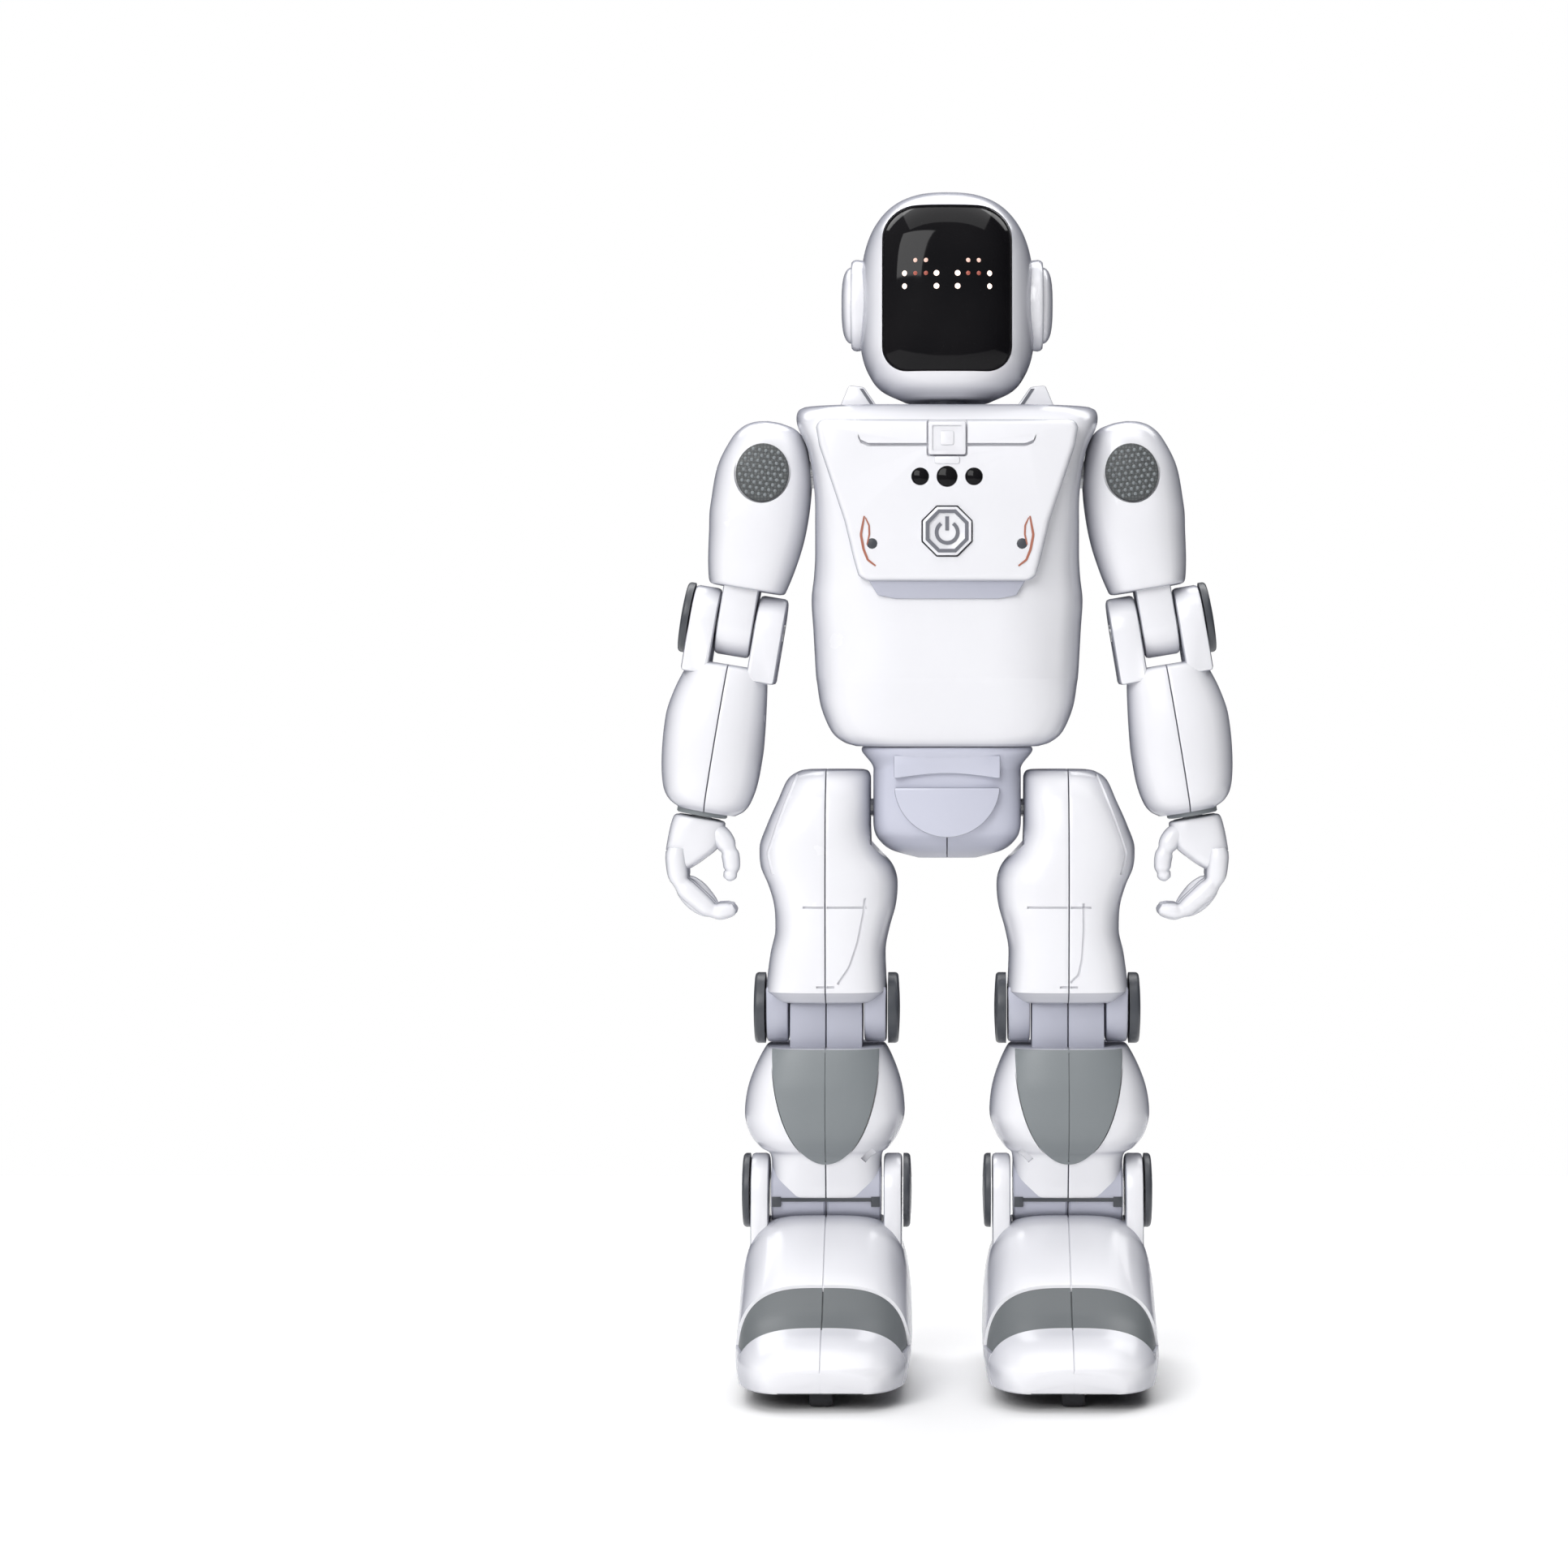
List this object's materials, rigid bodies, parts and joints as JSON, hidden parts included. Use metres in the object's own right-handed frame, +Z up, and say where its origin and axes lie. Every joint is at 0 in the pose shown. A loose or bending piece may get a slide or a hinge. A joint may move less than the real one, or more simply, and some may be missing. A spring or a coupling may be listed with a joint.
{
  "type": "walking humanoid robot toy",
  "caption": "Toy humanoid robot that stands on wheeled feet, with a turning head, jointed arms and legs that swing in turn.",
  "frame": {"origin": "on the floor, at the middle of the robot's bounding box, midway between the feet", "axes": "+Z up, the robot faces -Y, its own left side is +X"},
  "size_m": [0.193, 0.113, 0.4],
  "materials": {
    "white_shell": "glossy white ABS",
    "grey_shell": "satin light grey ABS",
    "dark_grey_insert": "satin mid grey plastic",
    "charcoal_plastic": "textured dark plastic",
    "black_gloss": "high gloss black acrylic",
    "tyre_rubber": "matt rubber",
    "steel": "drawn bar",
    "circuit_board": "green solder mask",
    "battery_wrap": "blue shrink wrap",
    "accent_orange": "printed orange stripe",
    "led_glow": "lit LED dots"
  },
  "bodies": {
    "torso": {"torso_front_shell": "white_shell", "torso_rear_shell": "white_shell", "chest_panel": "white_shell", "sensor_module": "black_gloss", "main_board": "circuit_board", "battery_pack": "battery_wrap", "battery_cover": "white_shell", "speaker": "charcoal_plastic", "pelvis_front_shell": "grey_shell", "pelvis_rear_shell": "grey_shell", "hip_shaft": "steel", "leg_motor": "charcoal_plastic"},
    "power_button": {"power_button": "white_shell"},
    "head": {"head_front_shell": "white_shell", "head_rear_shell": "white_shell", "face_screen": "black_gloss", "led_board": "circuit_board", "left_ear_cap": "white_shell", "right_ear_cap": "white_shell", "neck_post": "white_shell"},
    "left_upper_arm": {"left_upper_arm_front_shell": "white_shell", "left_upper_arm_rear_shell": "white_shell", "left_shoulder_grille": "charcoal_plastic", "left_shoulder_shaft": "white_shell"},
    "left_forearm": {"left_forearm_inner_shell": "white_shell", "left_forearm_outer_shell": "white_shell", "left_elbow_pin": "charcoal_plastic"},
    "left_hand": {"left_hand": "white_shell"},
    "left_thigh": {"left_thigh_inner_shell": "white_shell", "left_thigh_outer_shell": "white_shell", "left_knee_pin": "charcoal_plastic"},
    "left_shin": {"left_shin_inner_shell": "white_shell", "left_shin_outer_shell": "white_shell", "left_shin_panel": "dark_grey_insert"},
    "left_foot": {"left_foot_upper": "white_shell", "left_toe_cap": "white_shell", "left_foot_chassis": "dark_grey_insert", "left_ankle_pin": "charcoal_plastic"},
    "left_drive_wheels": {"left_drive_wheels": "tyre_rubber"},
    "left_front_roller": {"left_front_roller": "tyre_rubber"},
    "right_upper_arm": {"right_upper_arm_front_shell": "white_shell", "right_upper_arm_rear_shell": "white_shell", "right_shoulder_grille": "charcoal_plastic", "right_shoulder_shaft": "white_shell"},
    "right_forearm": {"right_forearm_inner_shell": "white_shell", "right_forearm_outer_shell": "white_shell", "right_elbow_pin": "charcoal_plastic"},
    "right_hand": {"right_hand": "white_shell"},
    "right_thigh": {"right_thigh_inner_shell": "white_shell", "right_thigh_outer_shell": "white_shell", "right_knee_pin": "charcoal_plastic"},
    "right_shin": {"right_shin_inner_shell": "white_shell", "right_shin_outer_shell": "white_shell", "right_shin_panel": "dark_grey_insert"},
    "right_foot": {"right_foot_upper": "white_shell", "right_toe_cap": "white_shell", "right_foot_chassis": "dark_grey_insert", "right_ankle_pin": "charcoal_plastic"},
    "right_drive_wheels": {"right_drive_wheels": "tyre_rubber"},
    "right_front_roller": {"right_front_roller": "tyre_rubber"}
  },
  "joints": [
    {"name": "head_turn", "type": "hinge", "parent": "torso", "child": "head", "pos_m": [0, 0.0145, 0.325], "axis": [0, 0, 1], "range_deg": [-60, 60]},
    {"name": "button_press", "type": "slide", "parent": "torso", "child": "power_button", "axis": [0, 1, 0], "range_m": [0, 0.0012], "stiffness_N_per_m": 500, "springref_m": -0.001},
    {"name": "left_shoulder", "type": "hinge", "parent": "torso", "child": "left_upper_arm", "pos_m": [0.062, 0.0145, 0.305], "axis": [-1, 0, 0], "range_deg": [-45, 90]},
    {"name": "left_elbow", "type": "hinge", "parent": "left_upper_arm", "child": "left_forearm", "pos_m": [0.07058, 0.0145, 0.25371], "axis": [-0.9863, 0, -0.165], "range_deg": [0, 80]},
    {"name": "left_wrist", "type": "hinge", "parent": "left_forearm", "child": "left_hand", "pos_m": [0.08312, 0.0145, 0.19092], "axis": [0.165, 0, -0.9863], "range_deg": [-60, 60]},
    {"name": "left_hip", "type": "hinge", "parent": "torso", "child": "left_thigh", "pos_m": [0.0408, 0.0145, 0.192], "axis": [-1, 0, 0], "range_deg": [-18, 18]},
    {"name": "left_knee", "type": "hinge", "parent": "left_thigh", "child": "left_shin", "pos_m": [0.0408, 0.0145, 0.124], "axis": [1, 0, 0], "range_deg": [0, 35]},
    {"name": "left_ankle", "type": "hinge", "parent": "left_shin", "child": "left_foot", "pos_m": [0.0408, 0.0145, 0.062], "axis": [-1, 0, 0], "range_deg": [-18, 18]},
    {"name": "left_wheel_spin", "type": "hinge", "parent": "left_foot", "child": "left_drive_wheels", "pos_m": [0.0408, 0.0365, 0.009], "axis": [1, 0, 0], "continuous": true},
    {"name": "left_roller_spin", "type": "hinge", "parent": "left_foot", "child": "left_front_roller", "pos_m": [0.0408, -0.0435, 0.0046], "axis": [1, 0, 0], "continuous": true},
    {"name": "right_shoulder", "type": "hinge", "parent": "torso", "child": "right_upper_arm", "pos_m": [-0.062, 0.0145, 0.305], "axis": [-1, 0, 0], "range_deg": [-45, 90]},
    {"name": "right_elbow", "type": "hinge", "parent": "right_upper_arm", "child": "right_forearm", "pos_m": [-0.07058, 0.0145, 0.25371], "axis": [-0.9863, 0, 0.165], "range_deg": [0, 80]},
    {"name": "right_wrist", "type": "hinge", "parent": "right_forearm", "child": "right_hand", "pos_m": [-0.08312, 0.0145, 0.19092], "axis": [0.165, 0, 0.9863], "range_deg": [-60, 60]},
    {"name": "right_hip", "type": "hinge", "parent": "torso", "child": "right_thigh", "pos_m": [-0.0408, 0.0145, 0.192], "axis": [-1, 0, 0], "range_deg": [-18, 18]},
    {"name": "right_knee", "type": "hinge", "parent": "right_thigh", "child": "right_shin", "pos_m": [-0.0408, 0.0145, 0.124], "axis": [1, 0, 0], "range_deg": [0, 35]},
    {"name": "right_ankle", "type": "hinge", "parent": "right_shin", "child": "right_foot", "pos_m": [-0.0408, 0.0145, 0.062], "axis": [-1, 0, 0], "range_deg": [-18, 18]},
    {"name": "right_wheel_spin", "type": "hinge", "parent": "right_foot", "child": "right_drive_wheels", "pos_m": [-0.0408, 0.0365, 0.009], "axis": [1, 0, 0], "continuous": true},
    {"name": "right_roller_spin", "type": "hinge", "parent": "right_foot", "child": "right_front_roller", "pos_m": [-0.0408, -0.0435, 0.0046], "axis": [1, 0, 0], "continuous": true}
  ],
  "couplings": [
    {"joint": "right_hip", "follows": "left_hip", "ratio": -1},
    {"joint": "left_ankle", "follows": "left_hip", "ratio": -1},
    {"joint": "right_ankle", "follows": "left_hip", "ratio": 1}
  ]
}
